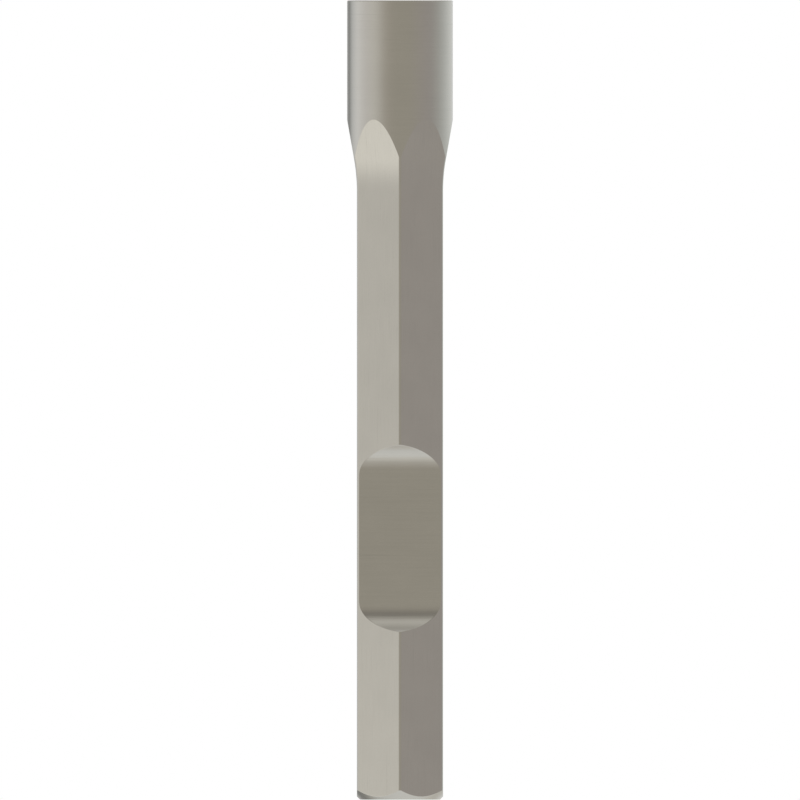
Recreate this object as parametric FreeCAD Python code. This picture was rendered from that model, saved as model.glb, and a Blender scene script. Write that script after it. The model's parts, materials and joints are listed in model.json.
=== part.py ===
import FreeCAD, Part

import math
import os

# A ground rod driver, machined from one steel bar. It stands on the end of its
# shank, with the head and its socket on top. The origin is on the axis, at the
# shank end. Z is up, and the retainer notch faces -Y. All sizes are millimetres.

# Overall
overall_length = 260.0

# Head
head_diameter = 34.4
head_length = 38.8
head_edge_break = 0.25

# Hexagonal shank
across_flats = 28.0
corner_radius = 1.0
end_face_diameter = 26.0
end_chamfer_angle = 45.0

# Tapered facets, where the flats run out into the round head
facet_slope_angle = 10.0
facet_blend_radius = 60.0

# Retainer notch, milled across the front corner of the shank
notch_centre_height = 85.0
notch_flat_length = 41.4
notch_flat_from_axis = 8.5
notch_end_radius = 10.0

# Socket in the head for the rod
socket_diameter = 20.0
socket_depth = 50.0
socket_point_angle = 118.0
socket_mouth_chamfer = 1.5

# Number of flats, and how far a cutter runs past the bar
flat_count = 6
cutter_overrun = 5.0

# Derived sizes
head_radius = head_diameter / 2.0
flat_from_axis = across_flats / 2.0
flat_pitch_angle = 360.0 / flat_count
corner_from_axis = flat_from_axis / math.cos(math.radians(flat_pitch_angle / 2.0))
facet_slope = math.tan(math.radians(facet_slope_angle))
facet_top = overall_length - head_length
facet_foot = facet_top - (head_radius - flat_from_axis) / facet_slope
blend_tangent_length = facet_blend_radius * math.tan(math.radians(facet_slope_angle / 2.0))

UP = FreeCAD.Vector(0, 0, 1)
ORIGIN = FreeCAD.Vector(0, 0, 0)


def point_xz(x, z):
    """Return a point in the XZ plane."""
    return FreeCAD.Vector(x, 0, z)


def point_yz(y, z):
    """Return a point in the YZ plane."""
    return FreeCAD.Vector(0, y, z)


def line(start, end):
    """Return a straight edge."""
    return Part.LineSegment(start, end).toShape()


def revolved(points):
    """Return the solid that a closed outline in the XZ plane sweeps about Z."""
    outline = Part.makePolygon(points + points[:1])
    return Part.Face(outline).revolve(ORIGIN, UP, 360)


def turned_bar():
    """Return the bar as it comes off the lathe: round, faced, with a coned shank end."""
    end_radius = end_face_diameter / 2.0
    cone_height = (head_radius - end_radius) / math.tan(math.radians(end_chamfer_angle))
    return revolved([
        point_xz(0, 0),
        point_xz(end_radius, 0),
        point_xz(head_radius, cone_height),
        point_xz(head_radius, overall_length - head_edge_break),
        point_xz(head_radius - head_edge_break, overall_length),
        point_xz(0, overall_length),
    ])


def rod_socket():
    """Return the drilled hole in the head, with its drill point and chamfered mouth."""
    radius = socket_diameter / 2.0
    point_height = radius / math.tan(math.radians(socket_point_angle / 2.0))
    floor = overall_length - socket_depth
    mouth = overall_length - socket_mouth_chamfer
    top = overall_length + cutter_overrun
    return revolved([
        point_xz(0, floor - point_height),
        point_xz(radius, floor),
        point_xz(radius, mouth),
        point_xz(radius + socket_mouth_chamfer + cutter_overrun, top),
        point_xz(0, top),
    ])


def flat_half_space():
    """Return all that one milled flat leaves standing, a slab with one shaped side.

    The side at +X is the shank flat. It bends outward through the blend and goes on
    as the tapered facet, past the top of the bar.
    """
    below = -cutter_overrun
    above = overall_length + cutter_overrun
    blend_start = facet_foot - blend_tangent_length
    blend_middle_angle = math.radians(facet_slope_angle / 2.0)
    blend_end_angle = math.radians(facet_slope_angle)
    blend_points = [
        point_xz(
            flat_from_axis + facet_blend_radius * (1.0 - math.cos(angle)),
            blend_start + facet_blend_radius * math.sin(angle),
        )
        for angle in (0.0, blend_middle_angle, blend_end_angle)
    ]
    flat_start = point_xz(flat_from_axis, below)
    facet_end = point_xz(flat_from_axis + (above - facet_foot) * facet_slope, above)
    reach = facet_end.x / math.cos(math.radians(flat_pitch_angle / 2.0)) + cutter_overrun
    far_above = point_xz(-reach, above)
    far_below = point_xz(-reach, below)
    outline = Part.Wire([
        line(flat_start, blend_points[0]),
        Part.Arc(*blend_points).toShape(),
        line(blend_points[2], facet_end),
        line(facet_end, far_above),
        line(far_above, far_below),
        line(far_below, flat_start),
    ])
    slab = Part.Face(outline).extrude(FreeCAD.Vector(0, 2.0 * reach, 0))
    slab.translate(FreeCAD.Vector(0, -reach, 0))
    return slab


def is_corner_edge(edge):
    """Return True for an edge that runs up a corner between two flats."""
    low = edge.BoundBox.ZMin
    high = edge.BoundBox.ZMax
    return high - low > corner_radius


def flared_hexagon():
    """Return the hexagon of the shank, flared at the top, with rounded corners."""
    one_flat = flat_half_space()
    hexagon = one_flat
    for index in range(1, flat_count):
        turned = one_flat.copy()
        turned.rotate(ORIGIN, UP, index * flat_pitch_angle)
        hexagon = hexagon.common(turned)
    corner_edges = [edge for edge in hexagon.Edges if is_corner_edge(edge)]
    return hexagon.makeFillet(corner_radius, corner_edges)


def retainer_notch():
    """Return the cutter of the notch: a flat floor that curves up to the corner at both ends."""
    floor = -notch_flat_from_axis
    half_length = notch_flat_length / 2.0
    outside = -(corner_from_axis + cutter_overrun)
    low = notch_centre_height - half_length
    high = notch_centre_height + half_length
    quarter = notch_end_radius * math.sqrt(0.5)
    arc_y = floor - notch_end_radius
    low_tip = point_yz(arc_y, low - notch_end_radius)
    high_tip = point_yz(arc_y, high + notch_end_radius)
    low_arc = Part.Arc(low_tip, point_yz(arc_y + quarter, low - quarter), point_yz(floor, low))
    high_arc = Part.Arc(point_yz(floor, high), point_yz(arc_y + quarter, high + quarter), high_tip)
    outline = Part.Wire([
        line(point_yz(outside, low - notch_end_radius), low_tip),
        low_arc.toShape(),
        line(point_yz(floor, low), point_yz(floor, high)),
        high_arc.toShape(),
        line(high_tip, point_yz(outside, high + notch_end_radius)),
        line(
            point_yz(outside, high + notch_end_radius),
            point_yz(outside, low - notch_end_radius),
        ),
    ])
    reach = head_radius + cutter_overrun
    cutter = Part.Face(outline).extrude(FreeCAD.Vector(2.0 * reach, 0, 0))
    cutter.translate(FreeCAD.Vector(-reach, 0, 0))
    return cutter


def rod_driver():
    """Return the finished driver as one solid."""
    shaped = turned_bar().common(flared_hexagon())
    notched = shaped.cut(retainer_notch())
    bored = notched.cut(rod_socket())
    return bored.removeSplitter()


os.makedirs("parts", exist_ok=True)
driver = rod_driver()
driver.exportStep("parts/rod_driver.step")
print("rod_driver solids", len(driver.Solids), "valid", driver.isValid())
print("rod_driver volume cm3", round(driver.Volume / 1000.0, 2))
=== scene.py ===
"""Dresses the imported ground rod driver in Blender: its steel surface, a light tent and the camera.

The driver is one machined piece of steel. Its visible surface is one closed skin, worked out from
the same sizes as the solid, with every crease on a grid line and every sharp edge slightly broken.
Angles round the axis are counted from the front, where the retainer notch is, towards +X.
"""

import json
import logging
import math
from collections.abc import Callable
from dataclasses import dataclass, field
from enum import Enum

import bmesh
import bpy
import numpy as np
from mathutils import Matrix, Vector


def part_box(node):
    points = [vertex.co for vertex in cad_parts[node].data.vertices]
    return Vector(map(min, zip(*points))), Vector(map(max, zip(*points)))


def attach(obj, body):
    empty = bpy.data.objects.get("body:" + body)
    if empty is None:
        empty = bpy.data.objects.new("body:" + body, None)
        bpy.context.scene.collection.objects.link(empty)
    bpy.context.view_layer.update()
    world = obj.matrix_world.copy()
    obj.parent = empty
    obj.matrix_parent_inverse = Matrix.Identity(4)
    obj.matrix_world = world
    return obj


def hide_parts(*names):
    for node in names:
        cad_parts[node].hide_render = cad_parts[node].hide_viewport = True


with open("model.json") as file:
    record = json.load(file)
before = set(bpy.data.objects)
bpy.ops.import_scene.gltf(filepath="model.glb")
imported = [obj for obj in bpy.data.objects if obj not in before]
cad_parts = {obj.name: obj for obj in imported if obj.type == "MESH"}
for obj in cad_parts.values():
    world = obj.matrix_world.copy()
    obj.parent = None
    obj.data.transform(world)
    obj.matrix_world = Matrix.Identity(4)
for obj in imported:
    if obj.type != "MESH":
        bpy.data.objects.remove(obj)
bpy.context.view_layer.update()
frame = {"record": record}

NODE = "rod_driver"
BODY = "root"
MM = 0.001
FLATS = 6
SECTOR = 2 * math.pi / FLATS

# Columns nearer than this angle are one column, and points nearer than this length are one point.
SAME_ANGLE = 1e-5
SAME_PLACE = 1e-6

log = logging.getLogger(NODE)

Profile = tuple[np.ndarray, np.ndarray]
Track = Callable[[np.ndarray], Profile]
PerColumn = np.ndarray | float
Socket = bpy.types.NodeSocket
Value = Socket | float | tuple[float, ...]


class Region(Enum):
    """The finishes that the machining leaves on the driver, one material each."""

    GROUND_FLATS = "ground_flats"
    TURNED_HEAD = "turned_head"
    MILLED_NOTCH = "milled_notch"
    TURNED_END = "turned_end"
    BORED_SOCKET = "bored_socket"


class Lay(Enum):
    """The direction in which a tool's marks run over a surface."""

    ALONG_AXIS = "along_axis"
    ROUND_AXIS = "round_axis"
    ACROSS_FRONT = "across_front"


@dataclass(frozen=True)
class SteelFinish:
    """One machined finish of the plain steel.

    Args:
        name: the material's name.
        lay: the direction of the tool marks.
        mark_width: the distance between tool marks, in metres.
        mark_depth: the strength of the marks in the bump.
        mark_stretch: how many times longer than wide the marks are.
        colour: the steel's reflectance, linear.
        roughness: the mean roughness.
        tone_change: how far the colour changes with marks and scratches, as a share.
        roughness_change: how far the roughness changes with them.
        shade: the share of the colour that is left at the floor of the socket, darkened with depth as
            painted shade.
        shade_power: the power of the height by which the painted shade sets in.
    """

    name: str
    lay: Lay
    mark_width: float
    mark_depth: float
    mark_stretch: float = 60.0
    colour: tuple[float, float, float] = (0.52, 0.497, 0.435)
    roughness: float = 0.2
    tone_change: float = 0.08
    roughness_change: float = 0.08
    shade: float = 1.0
    shade_power: float = 3.0


FINISHES = {
    Region.GROUND_FLATS: SteelFinish("ground_flats", Lay.ALONG_AXIS, 0.22 * MM, 0.1),
    Region.TURNED_HEAD: SteelFinish("turned_head", Lay.ROUND_AXIS, 0.18 * MM, 0.1),
    Region.MILLED_NOTCH: SteelFinish("milled_notch", Lay.ACROSS_FRONT, 0.35 * MM, 0.06),
    Region.TURNED_END: SteelFinish("turned_end", Lay.ROUND_AXIS, 0.2 * MM, 0.1),
    # Darker, rougher bored steel: its darker colour is partly painted shade for the inside of the hole,
    # and its shade darkens it further with depth, also painted shade.
    Region.BORED_SOCKET: SteelFinish(
        "bored_socket",
        Lay.ROUND_AXIS,
        mark_width=0.3 * MM,
        mark_depth=0.3,
        colour=(0.3, 0.285, 0.25),
        roughness=0.4,
        tone_change=0.15,
        roughness_change=0.1,
        shade=0.04,
    ),
}


def closed_quads(rows: int, columns: int) -> np.ndarray:
    """Lists the corners of each cell of a grid of points that closes on itself sideways.

    Args:
        rows: the number of rows of points.
        columns: the number of points in a row.

    Returns:
        The four point numbers of each cell, row by row.
    """
    index = np.arange(rows * columns).reshape(rows, columns)
    right = np.roll(index, -1, axis=1)
    return np.stack([index[:-1], right[:-1], right[1:], index[1:]], axis=-1).reshape(-1, 4)


@dataclass
class Strip:
    """A stretch of the skin between two creases, from the shank end towards the socket.

    Args:
        start: the strip's parameter at its first row, one value a column.
        end: the parameter at its last row, one value a column.
        track: the function that turns the parameter into radius and height, one pair a column.
        region: the finish of the strip.
        rows: the number of rows between the two narrow ones at its ends.
        notched: True where the columns inside the notch take the notch's finish.
    """

    start: np.ndarray
    end: np.ndarray
    track: Track
    region: Region
    rows: int
    notched: bool = False


@dataclass
class DriverSkin:
    """The driver's visible skin and the finishes on it. Lengths are in metres, angles in radians.

    Args:
        length: the driver's length.
        head_radius: the radius of the round head.
        flat_from_axis: the distance of the six flats from the axis.
        socket_radius: the radius of the socket.
        socket_floor: the height at which its drill point begins.
        notch_floor: the distance of the notch's flat floor from the axis.
        notch_centre: the height of its middle.
        corner_radius: the radius of the six corners.
        end_radius: the radius of the flat face at the shank end, inside the cone.
        head_length: the length of the head, down to the tips of the facets.
        head_edge_break: the width of the broken edge round the head's top.
        facet_slope: the slope of the facets.
        blend_radius: the radius that bends the flats into the facets.
        notch_flat_length: the length of the notch's flat floor.
        notch_end_radius: the radius of its curved ends.
        mouth_chamfer: the width of the chamfer at the socket's mouth.
        socket_point_angle: the full angle of its drill point.
        edge_width: the distance from a crease to the rows and columns beside it.
        flat_columns: the number of columns on a flat.
        flat_easing: how much wider than even the gaps in its middle are, as a share.
        corner_columns: the number of columns on a corner.
        corner_margin: where the columns beside a corner stand, in halves of its arc.
        side_columns: the number of columns that fan out inwards from each side of the notch.
        side_gap: how far each of them lies from the last, in edge widths.
        side_growth: how far the square of its number moves it on, in edge widths.
    """

    length: float
    head_radius: float
    flat_from_axis: float
    socket_radius: float
    socket_floor: float
    notch_floor: float
    notch_centre: float
    corner_radius: float = 1.0 * MM
    end_radius: float = 13.0 * MM
    head_length: float = 38.8 * MM
    head_edge_break: float = 0.25 * MM
    facet_slope: float = math.radians(10.0)
    blend_radius: float = 60.0 * MM
    notch_flat_length: float = 41.4 * MM
    notch_end_radius: float = 10.0 * MM
    mouth_chamfer: float = 1.5 * MM
    socket_point_angle: float = math.radians(118.0)
    edge_width: float = 0.1 * MM
    flat_columns: int = 30
    flat_easing: float = 0.25
    corner_columns: int = 9
    corner_margin: float = 1.3
    side_columns: int = 7
    side_gap: float = 2.2
    side_growth: float = 1 / 3
    facet_foot: float = field(init=False)
    blend_start: float = field(init=False)
    blend_end: float = field(init=False)
    notch_low: float = field(init=False)
    notch_high: float = field(init=False)
    notch_side: float = field(init=False)
    columns: np.ndarray = field(init=False)
    shank: np.ndarray = field(init=False)
    in_notch: np.ndarray = field(init=False)

    def __post_init__(self) -> None:
        """Works out the places of the creases and the radius of the shank at each column."""
        run = (self.head_radius - self.flat_from_axis) / math.tan(self.facet_slope)
        self.facet_foot = self.length - self.head_length - run
        self.blend_start = self.facet_foot - self.blend_radius * math.tan(self.facet_slope / 2)
        self.blend_end = self.blend_start + self.blend_radius * math.sin(self.facet_slope)
        self.notch_low = self.notch_centre - self.notch_flat_length / 2
        self.notch_high = self.notch_centre + self.notch_flat_length / 2
        half = SECTOR / 2
        side = (self.flat_from_axis - self.notch_floor * math.cos(half)) / math.sin(half)
        self.notch_side = math.atan2(side, self.notch_floor)
        self.columns = self.column_angles()
        self.shank = self.hexagon_radius(self.flat_from_axis)
        self.in_notch = np.abs(self.columns) < self.notch_side + SAME_ANGLE

    def column_angles(self) -> np.ndarray:
        """Works out the angles of the grid's columns.

        They are wide on the flats and close at the six corners and at the notch's two sides. On
        a flat their places are a cubic of an even share, so that the widths change gently. Inside
        the notch they fan out from its sides, each gap a little wider than the last.

        Returns:
            The angles, from the smallest to the largest.
        """
        tangent = math.atan(math.tan(SECTOR / 2) * (1 - self.corner_radius / self.flat_from_axis))
        arc = SECTOR / 2 - tangent
        beside = self.corner_margin * arc
        corner = np.concatenate([np.linspace(-arc, arc, self.corner_columns), [-beside, beside]])
        share = np.linspace(-1.0, 1.0, self.flat_columns)
        eased = share * (1 + self.flat_easing - self.flat_easing * share**2)
        flat = SECTOR / 2 + (SECTOR / 2 - beside) * eased
        turns = np.arange(-FLATS // 2, FLATS // 2) * SECTOR
        even = (np.concatenate([corner, flat])[None, :] + turns[:, None]).ravel()
        step = self.edge_width * math.cos(self.notch_side) / self.notch_floor
        count = np.arange(self.side_columns)
        inwards = 1 + self.side_gap * count + self.side_growth * count**2
        side = self.notch_side + step * np.concatenate([-inwards, [0.0, 1.0]])
        angles = np.concatenate([even, side, -side])
        angles = np.sort((angles + math.pi) % (2 * math.pi) - math.pi)
        apart = np.diff(angles, append=angles[0] + 2 * math.pi) > SAME_ANGLE
        return angles[apart]

    def from_flat(self) -> np.ndarray:
        """Returns each column's angle from the middle of the nearest flat, without its sign."""
        return np.abs(np.mod(self.columns, SECTOR) - SECTOR / 2)

    def on_corner(self, apothem: PerColumn) -> np.ndarray:
        """Returns True for each column that meets the round of a corner, at an apothem."""
        limit = math.tan(SECTOR / 2) * (1 - self.corner_radius / apothem)
        return np.tan(self.from_flat()) > limit

    def hexagon_radius(self, apothem: PerColumn) -> np.ndarray:
        """Works out the radius of the hexagon with rounded corners.

        On a flat the radius is the apothem over the cosine of the angle from its middle. Near a
        corner it is the far crossing of the ray with the corner's circle.

        Args:
            apothem: the distance of the flats from the axis, one for all or one a column.

        Returns:
            The radii, one a column.
        """
        to_corner = SECTOR / 2 - self.from_flat()
        centre = (apothem - self.corner_radius) / math.cos(SECTOR / 2)
        under_root = self.corner_radius**2 - (centre * np.sin(to_corner)) ** 2
        rounded = centre * np.cos(to_corner) + np.sqrt(np.maximum(under_root, 0.0))
        return np.where(self.on_corner(apothem), rounded, apothem / np.cos(self.from_flat()))

    def apothem_reaching(self, radius: float) -> np.ndarray:
        """Works out the apothem at which the rounded hexagon reaches a radius.

        On a flat it is the radius times the cosine of the angle from its middle. Near a corner
        it follows from the corner's circle, whose centre is one corner radius from the point.

        Args:
            radius: the radius to reach.

        Returns:
            The apothems, one a column.
        """
        to_corner = SECTOR / 2 - self.from_flat()
        on_flat = radius * np.cos(self.from_flat())
        under_root = self.corner_radius**2 - (radius * np.sin(to_corner)) ** 2
        centre = radius * np.cos(to_corner) - np.sqrt(np.maximum(under_root, 0.0))
        at_corner = centre * math.cos(SECTOR / 2) + self.corner_radius
        return np.where(self.on_corner(on_flat), at_corner, on_flat)

    def straight(
        self,
        first: tuple[PerColumn, PerColumn],
        last: tuple[PerColumn, PerColumn],
        region: Region,
        rows: int,
        notched: bool = False,
    ) -> Strip:
        """Makes a strip that is straight in each plane through the axis.

        Its parameter is the share of the way from the first radius and height to the last.

        Args:
            first: the radius and height where it starts, one for all or one a column.
            last: the radius and height where it ends.
            region: the strip's finish.
            rows: the number of rows between the narrow ones.
            notched: True where the notch's columns take the notch's finish.

        Returns:
            The strip.
        """
        ones = np.ones_like(self.columns)
        start = np.stack([first[0] * ones, first[1] * ones])
        change = np.stack([last[0] * ones, last[1] * ones]) - start

        def track(share: np.ndarray) -> Profile:
            """Returns the radius and height at a share of the way."""
            radius, height = start + change * share
            return radius, height

        return Strip(0 * ones, ones, track, region, rows, notched)

    def notch_turn(self) -> np.ndarray:
        """Works out how far each column's end arc turns between the notch's floor and the shank.

        Inside the notch the cosine of the turn is one less the rise over the arc's radius. Beside
        it the turn grows on, with no meaning for the shape, so that the rows stay even.

        Returns:
            The turns, one a column.
        """
        rise = np.where(self.in_notch, self.shank * np.cos(self.columns) - self.notch_floor, 0.0)
        turn = np.arccos(np.clip(1 - rise / self.notch_end_radius, -1.0, 1.0))
        past = np.abs(self.columns) - self.notch_side
        past = np.clip(past / (math.pi - self.notch_side), 0.0, 1.0)
        return np.where(self.in_notch, turn, turn.max() * np.sqrt(past * (2 - past)))

    def notch_radius(self, depth: PerColumn) -> np.ndarray:
        """Returns the radius at a depth from the axis in the notch's columns, and the shank's beside."""
        towards = np.where(self.in_notch, np.cos(self.columns), 1.0)
        return np.where(self.in_notch, depth / towards, self.shank)

    def notch_arc(self, side: float, base: float) -> Track:
        """Makes the track of one of the notch's end arcs, whose parameter is the arc's turn.

        The depth is the floor's plus the radius times one less the cosine of the turn. The height
        is the base plus or minus the radius times its sine.

        Args:
            side: 1 for the upper arc, -1 for the lower.
            base: the height of the end of the flat floor.

        Returns:
            The track.
        """

        def track(turn: np.ndarray) -> Profile:
            """Returns the radius and height at a turn of the arc."""
            depth = self.notch_floor + self.notch_end_radius * (1 - np.cos(turn))
            return self.notch_radius(depth), base + side * self.notch_end_radius * np.sin(turn)

        return track

    def blend(self, turn: np.ndarray) -> Profile:
        """Returns the radius and height where the blend under the facets has turned by an angle."""
        apothem = self.flat_from_axis + self.blend_radius * (1 - np.cos(turn))
        return self.hexagon_radius(apothem), self.blend_start + self.blend_radius * np.sin(turn)

    def facet(self, height: np.ndarray) -> Profile:
        """Returns the radius and height of the sloping facets at a height."""
        apothem = self.flat_from_axis + (height - self.facet_foot) * math.tan(self.facet_slope)
        return self.hexagon_radius(apothem), height

    def shank_strips(self) -> list[Strip]:
        """Lists the strips from the middle of the end face up to the start of the blend."""
        flats, end = Region.GROUND_FLATS, Region.TURNED_END
        turn = self.notch_turn()
        zero = np.zeros_like(turn)
        cone_top = self.shank - self.end_radius
        reach = self.notch_end_radius * np.sin(turn)
        floor = self.notch_radius(self.notch_floor)
        low_arc = self.notch_arc(-1.0, self.notch_low)
        high_arc = self.notch_arc(1.0, self.notch_high)
        low_end, high_end = self.notch_low - reach, self.notch_high + reach
        return [
            self.straight((0.0, 0.0), (self.end_radius, 0.0), end, rows=6),
            self.straight((self.end_radius, 0.0), (self.shank, cone_top), end, rows=6),
            self.straight((self.shank, cone_top), (self.shank, low_end), flats, rows=8),
            Strip(turn, zero, low_arc, flats, rows=22, notched=True),
            self.straight((floor, self.notch_low), (floor, self.notch_high), flats, 8, notched=True),
            Strip(zero, turn, high_arc, flats, rows=22, notched=True),
            self.straight((self.shank, high_end), (self.shank, self.blend_start), flats, rows=10),
        ]

    def head_strips(self) -> list[Strip]:
        """Lists the strips of the blend, the facets, the round head and its top face."""
        flats, head = Region.GROUND_FLATS, Region.TURNED_HEAD
        ones = np.ones_like(self.columns)
        reached = self.apothem_reaching(self.head_radius)
        arch = self.facet_foot + (reached - self.flat_from_axis) / math.tan(self.facet_slope)
        edge = self.length - self.head_edge_break
        rim = self.head_radius - self.head_edge_break
        mouth = self.socket_radius + self.mouth_chamfer
        return [
            Strip(0 * ones, self.facet_slope * ones, self.blend, flats, rows=16),
            Strip(self.blend_end * ones, arch, self.facet, flats, rows=8),
            self.straight((self.head_radius, arch), (self.head_radius, edge), head, rows=8),
            self.straight((self.head_radius, edge), (rim, self.length), head, rows=0),
            self.straight((rim, self.length), (mouth, self.length), head, rows=4),
        ]

    def socket_strips(self) -> list[Strip]:
        """Lists the strips of the socket: its mouth chamfer, its wall and its drill point."""
        head, bore = Region.TURNED_HEAD, Region.BORED_SOCKET
        radius, floor = self.socket_radius, self.socket_floor
        mouth = radius + self.mouth_chamfer
        wall_top = self.length - self.mouth_chamfer
        point = floor - radius / math.tan(self.socket_point_angle / 2)
        return [
            self.straight((mouth, self.length), (radius, wall_top), head, rows=2),
            self.straight((radius, wall_top), (radius, floor), bore, rows=10),
            self.straight((radius, floor), (0.0, point), bore, rows=6),
        ]

    def rows_of(self, strip: Strip) -> np.ndarray:
        """Works out the parameter of each row of a strip.

        The first and last rows lie on the creases. The next ones lie one edge width inside them,
        or a quarter of the strip where it is short. The rest are evenly spaced between those.

        Args:
            strip: the strip.

        Returns:
            The parameters, one row each, one column each.
        """
        across = np.stack(strip.track(strip.end)) - np.stack(strip.track(strip.start))
        span = np.maximum(np.hypot(*across), SAME_PLACE)
        share = np.minimum(self.edge_width / span, 0.25)
        inner = share + (1 - 2 * share) * np.linspace(0.0, 1.0, strip.rows + 2)[:, None]
        shares = np.concatenate([0 * share[None, :], inner, 1 + 0 * share[None, :]])
        return strip.start + (strip.end - strip.start) * shares

    def grid(self, strips: list[Strip]) -> tuple[np.ndarray, list[Strip]]:
        """Works out the skin's grid of points.

        A point's place is its radius along its column's angle, and its height. Each sharp crease
        is then cut back by a quarter of its second difference, which breaks the edge.

        Args:
            strips: the strips from the end face to the socket.

        Returns:
            The points by row and column, and the strip of each row of cells.
        """
        rings: list[np.ndarray] = []
        cells: list[Strip] = []
        creases: list[int] = []
        for strip in strips:
            rows = self.rows_of(strip)
            cells += [strip] * (len(rows) - 1)
            for row in rows if not rings else rows[1:]:
                radius, height = strip.track(row)
                ring = [radius * np.sin(self.columns), -radius * np.cos(self.columns), height]
                rings.append(np.stack(ring, axis=1))
            creases.append(len(rings) - 1)
        points = np.array(rings)
        broken = points.copy()
        edge = np.array(creases[:-1])
        broken[edge] += (points[edge - 1] + points[edge + 1] - 2 * points[edge]) / 4
        notched = [row for row, strip in enumerate(cells) if strip.notched]
        inner = slice(notched[0] + 1, notched[-1])
        sides = np.flatnonzero(np.isclose(np.abs(self.columns), self.notch_side, atol=SAME_ANGLE))
        bend = points[inner, sides - 1] + points[inner, sides + 1] - 2 * points[inner, sides]
        broken[inner, sides] = points[inner, sides] + bend / 4
        return broken, cells

    def mesh(self) -> bpy.types.Mesh:
        """Builds the skin's mesh from its grid, with its poles and seam closed.

        Returns:
            The mesh, with one material index for each finish.
        """
        points, cells = self.grid(self.shank_strips() + self.head_strips() + self.socket_strips())
        quads = closed_quads(*points.shape[:2])
        regions = list(Region)
        base = np.array([regions.index(strip.region) for strip in cells])
        notched = np.array([strip.notched for strip in cells])
        middle = self.columns + np.diff(self.columns, append=self.columns[0] + 2 * math.pi) / 2
        cut = notched[:, None] & (np.abs(middle) < self.notch_side)[None, :]
        finish = np.where(cut, regions.index(Region.MILLED_NOTCH), base[:, None])
        mesh = bpy.data.meshes.new("driver_skin")
        mesh.from_pydata(points.reshape(-1, 3), [], quads.tolist())
        mesh.polygons.foreach_set("material_index", finish.ravel().astype(np.int32))
        mesh.polygons.foreach_set("use_smooth", np.ones(len(quads), dtype=bool))
        cleaned = bmesh.new()
        cleaned.from_mesh(mesh)
        bmesh.ops.remove_doubles(cleaned, verts=cleaned.verts, dist=SAME_PLACE)
        bmesh.ops.dissolve_degenerate(cleaned, edges=cleaned.edges, dist=SAME_PLACE)
        cleaned.to_mesh(mesh)
        cleaned.free()
        self.shade_evenly(mesh)
        return mesh

    @staticmethod
    def shade_evenly(mesh: bpy.types.Mesh) -> None:
        """Gives each point a shading normal that the faces round it share by their areas.

        The cross product of two sides of a triangle points out of it, and is as long as twice its
        area. A point's normal is the direction of the sum over its triangles, so that a wide face
        looks flat, or evenly round, right up to its broken edges.

        Args:
            mesh: the mesh.
        """
        mesh.calc_loop_triangles()
        corners = np.empty(3 * len(mesh.loop_triangles), dtype=np.int32)
        mesh.loop_triangles.foreach_get("vertices", corners)
        corners = corners.reshape(-1, 3)
        places = np.empty(3 * len(mesh.vertices))
        mesh.vertices.foreach_get("co", places)
        first, second, third = np.moveaxis(places.reshape(-1, 3)[corners], 1, 0)
        outwards = np.cross(second - first, third - first)
        normals = np.zeros((len(mesh.vertices), 3))
        np.add.at(normals, corners, outwards[:, None])
        normals /= np.linalg.norm(normals, axis=1, keepdims=True)
        mesh.normals_split_custom_set_from_vertices(normals.tolist())

    def build(self) -> bpy.types.Object:
        """Builds the skin, dresses it and puts it in the place of the solid.

        The skin doesn't mirror itself, so that the steel shows the tent alone.

        Returns:
            The finished object.
        """
        skin = bpy.data.objects.new("driver_skin", self.mesh())
        bpy.context.scene.collection.objects.link(skin)
        for region in Region:
            skin.data.materials.append(steel_material(FINISHES[region], self.socket_floor, self.length))
        skin.visible_glossy = False
        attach(skin, BODY)
        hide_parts(NODE)
        log.info("driver_skin: %d faces, %d finishes", len(skin.data.polygons), len(FINISHES))
        return skin


@dataclass
class NodeKit:
    """Adds nodes to one tree, so that each step of a material is one line."""

    tree: bpy.types.NodeTree

    def add(
        self, kind: str, settings: dict[str, object] | None = None, **inputs: Value
    ) -> bpy.types.Node:
        """Adds a node, sets its settings and fills its inputs.

        Args:
            kind: the node's type, without the leading ShaderNode.
            settings: the node's own properties.
            inputs: sockets or constants by input name, _ for a space, or by place as i0, i1.

        Returns:
            The node.
        """
        node = self.tree.nodes.new("ShaderNode" + kind)
        for name, value in (settings or {}).items():
            setattr(node, name, value)
        for name, value in inputs.items():
            place = int(name[1:]) if name[0] == "i" and name[1:].isdigit() else name.replace("_", " ")
            self.put(value, node.inputs[place])
        return node

    def put(self, value: Value, entry: Socket) -> None:
        """Links a socket to an input, or sets the input to a constant."""
        if isinstance(value, Socket):
            self.tree.links.new(value, entry)
        else:
            entry.default_value = value

    def maths(self, operation: str, *values: Value) -> Socket:
        """Adds a Math node on sockets or numbers and returns its result."""
        inputs = {f"i{place}": value for place, value in enumerate(values)}
        return self.add("Math", {"operation": operation}, **inputs).outputs["Value"]

    def vector(self, operation: str, *values: Value) -> Socket:
        """Adds a Vector Math node on sockets or vectors and returns its vector."""
        inputs = {f"i{place}": value for place, value in enumerate(values)}
        return self.add("VectorMath", {"operation": operation}, **inputs).outputs["Vector"]

    def length(self, vector: Socket) -> Socket:
        """Adds a Vector Math node and returns the vector's length."""
        return self.add("VectorMath", {"operation": "LENGTH"}, i0=vector).outputs["Value"]

    def mixed(self, share: Socket, first: Value, second: Value) -> Socket:
        """Adds a Mix node and returns the colour between the first and the second."""
        return self.add("Mix", {"data_type": "RGBA"}, i0=share, i6=first, i7=second).outputs[2]

    def noise(self, place: Socket, scale: float, detail: float = 3.0) -> Socket:
        """Adds a Noise Texture at a scale and returns its factor, from 0 to 1."""
        return self.add("TexNoise", Vector=place, Scale=scale, Detail=detail).outputs["Fac"]

    def ranged(self, value: Socket, *limits: float, smooth: bool = False) -> Socket:
        """Adds a Map Range node from and to the four limits and returns its result."""
        interpolation = "SMOOTHSTEP" if smooth else "LINEAR"
        inputs = {f"i{place + 1}": limit for place, limit in enumerate(limits)}
        node = self.add("MapRange", {"interpolation_type": interpolation}, i0=value, **inputs)
        return node.outputs["Result"]


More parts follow.
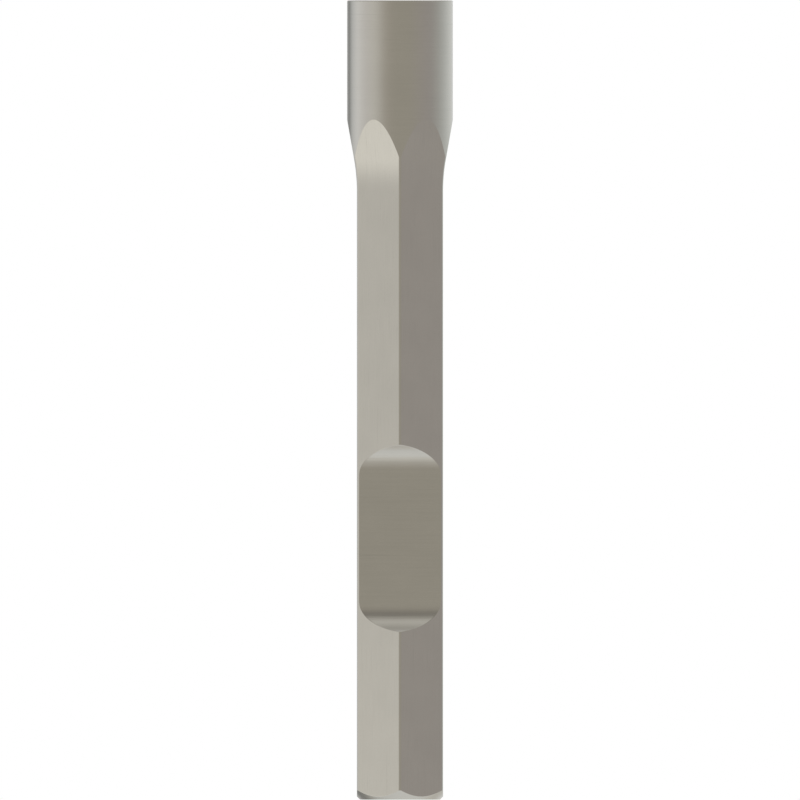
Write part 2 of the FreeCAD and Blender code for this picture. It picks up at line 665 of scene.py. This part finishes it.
@dataclass(frozen=True)
class ToolMarks:
    """The pattern of tool marks that the finishes share, as a node group.

    Fine marks are noise in coordinates stretched along the lay, one unit a mark. Scratches are
    the peaks of a wider one. Specks are the peaks of a fine noise that isn't stretched, and a
    slow one lets the tone wander.

    Args:
        scratch_scale: the scale of the scratches' noise, per mark.
        scratch_peaks: the noise at which a scratch begins and at which it is full.
        scratch_strength: how much a full scratch counts beside the marks.
        speck_scale: the scale of the specks' noise, per metre.
        speck_peaks: the noise at which a speck begins and at which it is full.
        speck_strength: how much a full speck counts.
        wander_scale: the scale of the slow noise, per metre.
    """

    scratch_scale: float = 0.4
    scratch_peaks: tuple[float, float] = (0.63, 0.73)
    scratch_strength: float = 0.5
    speck_scale: float = 1200.0
    speck_peaks: tuple[float, float] = (0.7, 0.78)
    speck_strength: float = 0.5
    wander_scale: float = 90.0

    def group(self) -> bpy.types.NodeTree:
        """Builds the node group, or returns it if it is there.

        It takes the coordinates, the changes and the mean roughness, and gives a tone round 1,
        the roughness and the height of the marks.

        Returns:
            The node group.
        """
        name = "tool_marks"
        if name in bpy.data.node_groups:
            return bpy.data.node_groups[name]
        group = bpy.data.node_groups.new(name, "ShaderNodeTree")
        for entry in ("Stretched", "Place"):
            group.interface.new_socket(entry, in_out="INPUT", socket_type="NodeSocketVector")
        for entry in ("Tone Change", "Mean Roughness", "Roughness Change"):
            group.interface.new_socket(entry, in_out="INPUT", socket_type="NodeSocketFloat")
        for result in ("Tone", "Roughness", "Height"):
            group.interface.new_socket(result, in_out="OUTPUT", socket_type="NodeSocketFloat")
        kit = NodeKit(group)
        enter = group.nodes.new("NodeGroupInput").outputs
        leave = group.nodes.new("NodeGroupOutput").inputs
        marks = kit.noise(enter["Stretched"], 1.0)
        wide = kit.noise(enter["Stretched"], self.scratch_scale)
        scratches = kit.ranged(wide, *self.scratch_peaks, 0.0, self.scratch_strength, smooth=True)
        fine = kit.noise(enter["Place"], self.speck_scale)
        specks = kit.ranged(fine, *self.speck_peaks, 0.0, self.speck_strength, smooth=True)
        wander = kit.noise(enter["Place"], self.wander_scale)
        even = kit.maths("ADD", kit.maths("ADD", marks, wander), -1.0)
        flaws = kit.maths("ADD", scratches, specks)
        darker = kit.maths("SUBTRACT", even, flaws)
        rougher = kit.maths("ADD", even, flaws)
        tone = kit.maths("MULTIPLY_ADD", darker, enter["Tone Change"], 1.0)
        rough = kit.maths(
            "MULTIPLY_ADD", rougher, enter["Roughness Change"], enter["Mean Roughness"]
        )
        kit.put(tone, leave["Tone"])
        kit.put(rough, leave["Roughness"])
        kit.put(kit.maths("SUBTRACT", marks, flaws), leave["Height"])
        return group


def lay_coordinates(kit: NodeKit, finish: SteelFinish) -> Socket:
    """Adds the nodes that stretch Object coordinates along a finish's lay.

    Across the front the stretch is a scale. Round the axis the first coordinate becomes the
    radius, so that the marks run in rings. Along the axis it becomes the place across the flat,
    which is the radius times the sine of the angle from the flat's middle, and the second is the
    flat's number, so that the marks stay on their flat and differ from one flat to the next.

    Args:
        kit: the material's nodes.
        finish: the finish.

    Returns:
        The socket with the stretched coordinates, one unit a mark.
    """
    place = kit.add("TexCoord").outputs["Object"]
    fine = 1.0 / finish.mark_width
    coarse = fine / finish.mark_stretch
    if finish.lay is Lay.ACROSS_FRONT:
        return kit.add("Mapping", Vector=place, Scale=(coarse, fine, fine)).outputs["Vector"]
    apart = kit.add("SeparateXYZ", Vector=place).outputs
    level = kit.vector("MULTIPLY", place, (1.0, 1.0, 0.0))
    radius = kit.length(level)
    if finish.lay is Lay.ROUND_AXIS:
        rings = kit.add("CombineXYZ", X=radius, Y=apart["X"], Z=apart["Z"]).outputs["Vector"]
        return kit.add("Mapping", Vector=rings, Scale=(fine, coarse, fine)).outputs["Vector"]
    flats_apart = 10.0
    turn = kit.maths("ARCTAN2", apart["X"], kit.maths("MULTIPLY", apart["Y"], -1.0))
    sectors = kit.maths("DIVIDE", turn, SECTOR)
    number = kit.maths("FLOOR", sectors)
    from_middle = kit.maths("ADD", kit.maths("SUBTRACT", sectors, number), -0.5)
    sine = kit.maths("SINE", kit.maths("MULTIPLY", from_middle, SECTOR))
    across = kit.maths("MULTIPLY", radius, sine)
    along = kit.add("CombineXYZ", X=across, Y=number, Z=apart["Z"]).outputs["Vector"]
    return kit.add("Mapping", Vector=along, Scale=(fine, flats_apart, coarse)).outputs["Vector"]


def steel_material(finish: SteelFinish, deep: float, open_end: float) -> bpy.types.Material:
    """Makes the steel with one finish: tool marks in its bump, roughness and colour.

    A finish with a shade gets painted shade: its colour darkens from the open end of the socket to its
    floor, for the shade deep in the hole.

    Args:
        finish: the finish.
        deep: the height of the socket's floor.
        open_end: the height of its mouth.

    Returns:
        The material.
    """
    material = bpy.data.materials.new(finish.name)
    material.use_nodes = True
    kit = NodeKit(material.node_tree)
    shader = material.node_tree.nodes["Principled BSDF"]
    shader.inputs["Metallic"].default_value = 1.0
    place = kit.add("TexCoord").outputs["Object"]
    marks = kit.add(
        "Group",
        {"node_tree": ToolMarks().group()},
        Stretched=lay_coordinates(kit, finish),
        Place=place,
        Tone_Change=finish.tone_change,
        Mean_Roughness=finish.roughness,
        Roughness_Change=finish.roughness_change,
    ).outputs
    tone = marks["Tone"]
    # Painted shade: the colour darkens with depth from the socket's mouth to its floor.
    if finish.shade < 1.0:
        height = kit.add("SeparateXYZ", Vector=place).outputs["Z"]
        lit = kit.maths("POWER", kit.ranged(height, deep, open_end, 0.0, 1.0), finish.shade_power)
        tone = kit.maths("MULTIPLY", tone, kit.ranged(lit, 0.0, 1.0, finish.shade, 1.0))
    tinted = kit.add("VectorMath", {"operation": "SCALE"}, i0=finish.colour, Scale=tone)
    bump = kit.add(
        "Bump", Strength=finish.mark_depth, Distance=finish.mark_width, Height=marks["Height"]
    )
    kit.put(tinted.outputs["Vector"], shader.inputs["Base Color"])
    kit.put(marks["Roughness"], shader.inputs["Roughness"])
    kit.put(bump.outputs["Normal"], shader.inputs["Normal"])
    return material


@dataclass(frozen=True)
class Light:
    """The light from one place of the tent.

    Args:
        brightness: where 1 is the white of the background.
        warmth: the share by which red is raised and blue is lowered.
        rose: the share by which green is lowered.
    """

    brightness: float
    warmth: float = 0.0
    rose: float = 0.0

    def colour(self) -> tuple[float, float, float, float]:
        """Returns the light's linear colour."""
        red, green, blue = 1 + self.warmth, 1 - self.rose, 1 - self.warmth
        return self.brightness * red, self.brightness * green, self.brightness * blue, 1.0


Stop = tuple[int, Light]


@dataclass(frozen=True)
class Card:
    """A soft-edged card on the tent's wall, brighter or darker than the wall.

    Args:
        turn: the direction of its middle round the tent, in degrees from the front towards +X.
        rise: the direction of its middle above the horizon, in degrees.
        width: degrees from its middle to where it has faded by about two thirds, sideways.
        height: the same, up and down.
        light: its light.
    """

    turn: float
    rise: float
    width: float
    height: float
    light: Light


@dataclass
class LightTent:
    """A round tent of soft light, which the steel mirrors and the camera looks through.

    Its wall has one row of lights round the horizon, which holds near eye level, and one over the
    tent, from the front over the top to the back, which holds above and below. Each light stands
    beside its angle in degrees from the front. A bright card stands low at the left front, and a
    tall dark one at the left back, which draws the dark line along the head's left edge.

    Args:
        centre_height: the height of the tent's centre.
        radius: its radius.
        level_band: the degrees above or below the horizon over which the lights round it give way
            to those over the tent.
        grid_step: the angle between the lines of its grid.
        cards: its cards.
        round_lights: its lights round the horizon.
        over_lights: its lights over the top.
    """

    centre_height: float
    radius: float = 1.6
    level_band: tuple[float, float] = (8.0, 40.0)
    grid_step: float = math.radians(3.75)
    cards: tuple[Card, ...] = (
        Card(-60.0, -22.0, 12.0, 16.0, Light(1.26)),
        Card(-148.0, -20.0, 15.0, 45.0, Light(0.3, -0.02)),
    )
    round_lights: tuple[Stop, ...] = (
        (-180, Light(0.75)),
        (-164, Light(0.6)),
        (-146, Light(0.8, -0.06)),
        (-134, Light(0.83, -0.05, 0.01)),
        (-120, Light(0.92, -0.05, 0.02)),
        (-106, Light(1.05, -0.04, 0.02)),
        (-80, Light(0.88, -0.02, 0.02)),
        (-58, Light(0.8)),
        (-46, Light(0.7, 0.01)),
        (-34, Light(0.57, 0.04)),
        (-22, Light(0.5, 0.05, -0.01)),
        (-10, Light(0.48, 0.05, -0.015)),
        (20, Light(0.48, 0.05, -0.015)),
        (40, Light(0.49, 0.03, 0.01)),
        (60, Light(0.495, 0.01, 0.035)),
        (72, Light(0.5, 0.0, 0.03)),
        (86, Light(0.56, -0.02, 0.01)),
        (100, Light(0.65, -0.04)),
        (118, Light(0.8, -0.05)),
        (136, Light(0.91, -0.04)),
        (160, Light(0.88, -0.02)),
        (180, Light(0.75)),
    )
    over_lights: tuple[Stop, ...] = (
        (-180, Light(0.8)),
        (-132, Light(0.73, 0.01)),
        (-118, Light(0.86)),
        (-104, Light(0.95, -0.04, 0.01)),
        (-76, Light(1.01, -0.04, 0.01)),
        (-62, Light(0.88)),
        (-50, Light(0.68, 0.01)),
        (-36, Light(0.58, 0.03)),
        (-24, Light(0.48, 0.05)),
        (8, Light(0.48, 0.05)),
        (26, Light(0.4, 0.05)),
        (38, Light(0.33, 0.04)),
        (50, Light(0.33, 0.03)),
        (58, Light(0.46, 0.02)),
        (66, Light(0.62, 0.01)),
        (76, Light(0.74)),
        (86, Light(0.72)),
        (112, Light(0.54, 0.01)),
        (136, Light(0.56, 0.01)),
        (180, Light(0.8)),
    )

    @staticmethod
    def ramp(kit: NodeKit, lights: tuple[Stop, ...], angle: Socket) -> Socket:
        """Adds a colour ramp with a stop for each light.

        Args:
            kit: the material's nodes.
            lights: the lights, from -180 to 180 degrees.
            angle: the angle, in radians.

        Returns:
            The ramp's colour.
        """
        node = kit.add("ValToRGB", Fac=kit.ranged(angle, -math.pi, math.pi, 0.0, 1.0))
        stops = node.color_ramp.elements
        for degrees, _ in lights[2:]:
            stops.new(0.5 + degrees / 360.0)
        for stop, (degrees, light) in zip(stops, lights):
            stop.position = 0.5 + degrees / 360.0
            stop.color = light.colour()
        return node.outputs["Color"]

    @staticmethod
    def faded(kit: NodeKit, angle: Socket, middle: float, reach: float, power: float) -> Socket:
        """Adds the nodes for a power of the distance from a card's middle, in its own reaches.

        Args:
            kit: the material's nodes.
            angle: the angle, in radians.
            middle: the angle of the card's middle, in degrees.
            reach: the card's width or height, in degrees.
            power: the exponent.

        Returns:
            The power, 1 at one reach from the middle.
        """
        away = kit.maths("ADD", angle, -math.radians(middle))
        reaches = kit.maths("MULTIPLY", away, 1.0 / math.radians(reach))
        return kit.maths("POWER", kit.maths("ABSOLUTE", reaches), power)

    def card_mask(self, kit: NodeKit, card: Card, azimuth: Socket, elevation: Socket) -> Socket:
        """Adds the nodes for a card's mask, which is 1 at its middle and falls off softly.

        The mask is e to the power of minus the sum of the square of the distance sideways and
        the fourth power of the distance up or down, each in the card's own reaches.

        Args:
            kit: the material's nodes.
            card: the card.
            azimuth: the angle round the tent, in radians.
            elevation: the angle above the horizon, in radians.

        Returns:
            The mask.
        """
        sideways = self.faded(kit, azimuth, card.turn, card.width, 2.0)
        upwards = self.faded(kit, elevation, card.rise, card.height, 4.0)
        narrower = kit.maths("POWER", kit.maths("COSINE", elevation), 2.0)
        falloff = kit.maths("MULTIPLY_ADD", sideways, narrower, upwards)
        return kit.maths("EXPONENT", kit.maths("MULTIPLY", falloff, -1.0))

    def glow(self) -> bpy.types.Material:
        """Makes the tent's light from its two rows of lights and its cards.

        Returns:
            The material.
        """
        material = bpy.data.materials.new("tent_glow")
        material.use_nodes = True
        material.cycles.emission_sampling = "NONE"
        kit = NodeKit(material.node_tree)
        towards = kit.vector("NORMALIZE", kit.add("TexCoord").outputs["Object"])
        apart = kit.add("SeparateXYZ", Vector=towards).outputs
        front = kit.maths("MULTIPLY", apart["Y"], -1.0)
        azimuth = kit.maths("ARCTAN2", apart["X"], front)
        elevation = kit.maths("ARCSINE", apart["Z"])
        level = self.ramp(kit, self.round_lights, azimuth)
        steep = self.ramp(kit, self.over_lights, kit.maths("ARCTAN2", apart["Z"], front))
        low, high = (math.radians(angle) for angle in self.level_band)
        share = kit.ranged(kit.maths("ABSOLUTE", elevation), low, high, 0.0, 1.0, smooth=True)
        wall = kit.mixed(share, level, steep)
        for card in self.cards:
            mask = self.card_mask(kit, card, azimuth, elevation)
            wall = kit.mixed(mask, wall, card.light.colour())
        emission = kit.add("Emission", Color=wall).outputs["Emission"]
        kit.put(emission, material.node_tree.nodes["Material Output"].inputs["Surface"])
        return material

    def build(self) -> bpy.types.Object:
        """Builds the tent as a sphere over the angle round it and the elevation.

        Returns:
            The tent's object.
        """
        half_turn = round(math.pi / self.grid_step)
        round_it = np.linspace(-math.pi, math.pi, 2 * half_turn, endpoint=False)
        up = np.linspace(-math.pi / 2, math.pi / 2, half_turn + 1)
        turn, rise = np.meshgrid(round_it, up)
        points = self.radius * np.stack(
            [np.sin(turn) * np.cos(rise), -np.cos(turn) * np.cos(rise), np.sin(rise)], axis=-1
        )
        mesh = bpy.data.meshes.new("light_tent")
        mesh.from_pydata(points.reshape(-1, 3), [], closed_quads(*turn.shape).tolist())
        mesh.materials.append(self.glow())
        tent = bpy.data.objects.new("light_tent", mesh)
        tent.location = (0.0, 0.0, self.centre_height)
        tent.visible_camera = False
        tent.visible_shadow = False
        bpy.context.scene.collection.objects.link(tent)
        return tent


@dataclass
class Studio:
    """A white background, a plain pale floor, the light tent, a soft lamp and the camera.

    Args:
        height: the height of the object.
        camera_distance: the distance of the camera from the axis.
        picture_margin: the height of the picture, in heights of the object.
        floor_size: the length of the floor's sides.
        floor_colour: its reflectance, linear.
        floor_roughness: its roughness.
        floor_fade: the distances from the axis between which it fades into the background.
        floor_white: the share of plain white in it at those distances.
        lamp_place: the place of the lamp's middle.
        lamp_size: the length of its sides.
        lamp_power: its power, in watts.
    """

    height: float
    camera_distance: float = 1.0
    picture_margin: float = 1.0008
    floor_size: float = 6.0
    floor_colour: tuple[float, float, float] = (0.86, 0.86, 0.86)
    floor_roughness: float = 0.9
    floor_fade: tuple[float, float] = (0.02, 0.35)
    floor_white: tuple[float, float] = (0.25, 1.0)
    lamp_place: tuple[float, float, float] = (-0.35, -0.3, 0.75)
    lamp_size: float = 0.3
    lamp_power: float = 4.2

    def background(self) -> bpy.types.World:
        """Makes the plain white world, which the camera sees past the tent.

        Returns:
            The world.
        """
        world = bpy.data.worlds.new("white_background")
        world.use_nodes = True
        shader = world.node_tree.nodes["Background"]
        shader.inputs["Color"].default_value = (1.0, 1.0, 1.0, 1.0)
        shader.inputs["Strength"].default_value = 1.0
        return world

    def floor(self) -> bpy.types.Object:
        """Makes the floor, which fades into the white background away from the object.

        The steel doesn't mirror it, so that it shows the tent alone.

        Returns:
            The floor's object.
        """
        half = self.floor_size / 2
        mesh = bpy.data.meshes.new("floor")
        corners = [(-half, -half, 0), (half, -half, 0), (half, half, 0), (-half, half, 0)]
        mesh.from_pydata(corners, [], [(0, 1, 2, 3)])
        floor = bpy.data.objects.new("floor", mesh)
        bpy.context.scene.collection.objects.link(floor)
        floor.visible_glossy = False
        material = bpy.data.materials.new("pale_floor")
        material.use_nodes = True
        kit = NodeKit(material.node_tree)
        shader = material.node_tree.nodes["Principled BSDF"]
        shader.inputs["Base Color"].default_value = (*self.floor_colour, 1.0)
        shader.inputs["Roughness"].default_value = self.floor_roughness
        shader.inputs["Specular IOR Level"].default_value = 0.0
        place = kit.add("TexCoord").outputs["Object"]
        fade = kit.ranged(kit.length(place), *self.floor_fade, *self.floor_white, smooth=True)
        seen = kit.maths("MULTIPLY", fade, kit.add("LightPath").outputs["Is Camera Ray"])
        white = kit.add("Emission", Strength=1.0).outputs["Emission"]
        mixed = kit.add("MixShader", Fac=seen, i1=shader.outputs["BSDF"], i2=white)
        leave = material.node_tree.nodes["Material Output"].inputs
        kit.put(mixed.outputs["Shader"], leave["Surface"])
        mesh.materials.append(material)
        return floor

    def lamp(self) -> bpy.types.Object:
        """Hangs a soft lamp at the left front, over the object, for its shadow on the floor.

        Returns:
            The lamp's object.
        """
        light = bpy.data.lights.new("soft_lamp", "AREA")
        light.shape = "SQUARE"
        light.size = self.lamp_size
        light.energy = self.lamp_power
        lamp = bpy.data.objects.new("soft_lamp", light)
        lamp.location = self.lamp_place
        lamp.rotation_euler = Vector(self.lamp_place).to_track_quat("Z", "Y").to_euler()
        lamp.visible_camera = False
        lamp.visible_glossy = False
        bpy.context.scene.collection.objects.link(lamp)
        return lamp

    def camera(self) -> bpy.types.Object:
        """Sets the camera square in front, with the object's height filling the picture.

        Returns:
            The camera's object.
        """
        lens = bpy.data.cameras.new("camera")
        lens.type = "ORTHO"
        lens.ortho_scale = self.height * self.picture_margin
        camera = bpy.data.objects.new("camera", lens)
        camera.location = (0.0, -self.camera_distance, self.height / 2)
        camera.rotation_euler = (math.pi / 2, 0.0, 0.0)
        bpy.context.scene.collection.objects.link(camera)
        bpy.context.scene.camera = camera
        return camera

    def build(self) -> None:
        """Sets up the background, the floor, the tent, the lamp, the camera and the view transform."""
        scene = bpy.context.scene
        scene.world = self.background()
        self.floor()
        LightTent(centre_height=self.height / 2).build()
        self.lamp()
        self.camera()
        scene.view_settings.view_transform = "Standard"
        log.info("studio: floor, tent, lamp and camera")


def mount(name: str) -> dict:
    """Returns the record's mount of that name."""
    return next(entry for entry in frame["record"]["mounts"] if entry["name"] == name)


def main() -> None:
    """Builds the driver and its studio, and reports each piece."""
    logging.basicConfig(level=logging.INFO, format="%(name)s: %(message)s")
    low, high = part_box(NODE)
    socket = mount("rod_socket")
    notch = mount("notch_flat")
    flat = mount("shank_flat_right")
    driver = DriverSkin(
        length=high.z - low.z,
        head_radius=(high.x - low.x) / 2,
        flat_from_axis=flat["pos_m"][0],
        socket_radius=socket["dims"]["r_mm"] * MM,
        socket_floor=socket["pos_m"][2],
        notch_floor=-notch["pos_m"][1],
        notch_centre=notch["pos_m"][2],
    )
    driver.build()
    Studio(height=driver.length).build()


if __name__ == "__main__":
    main()
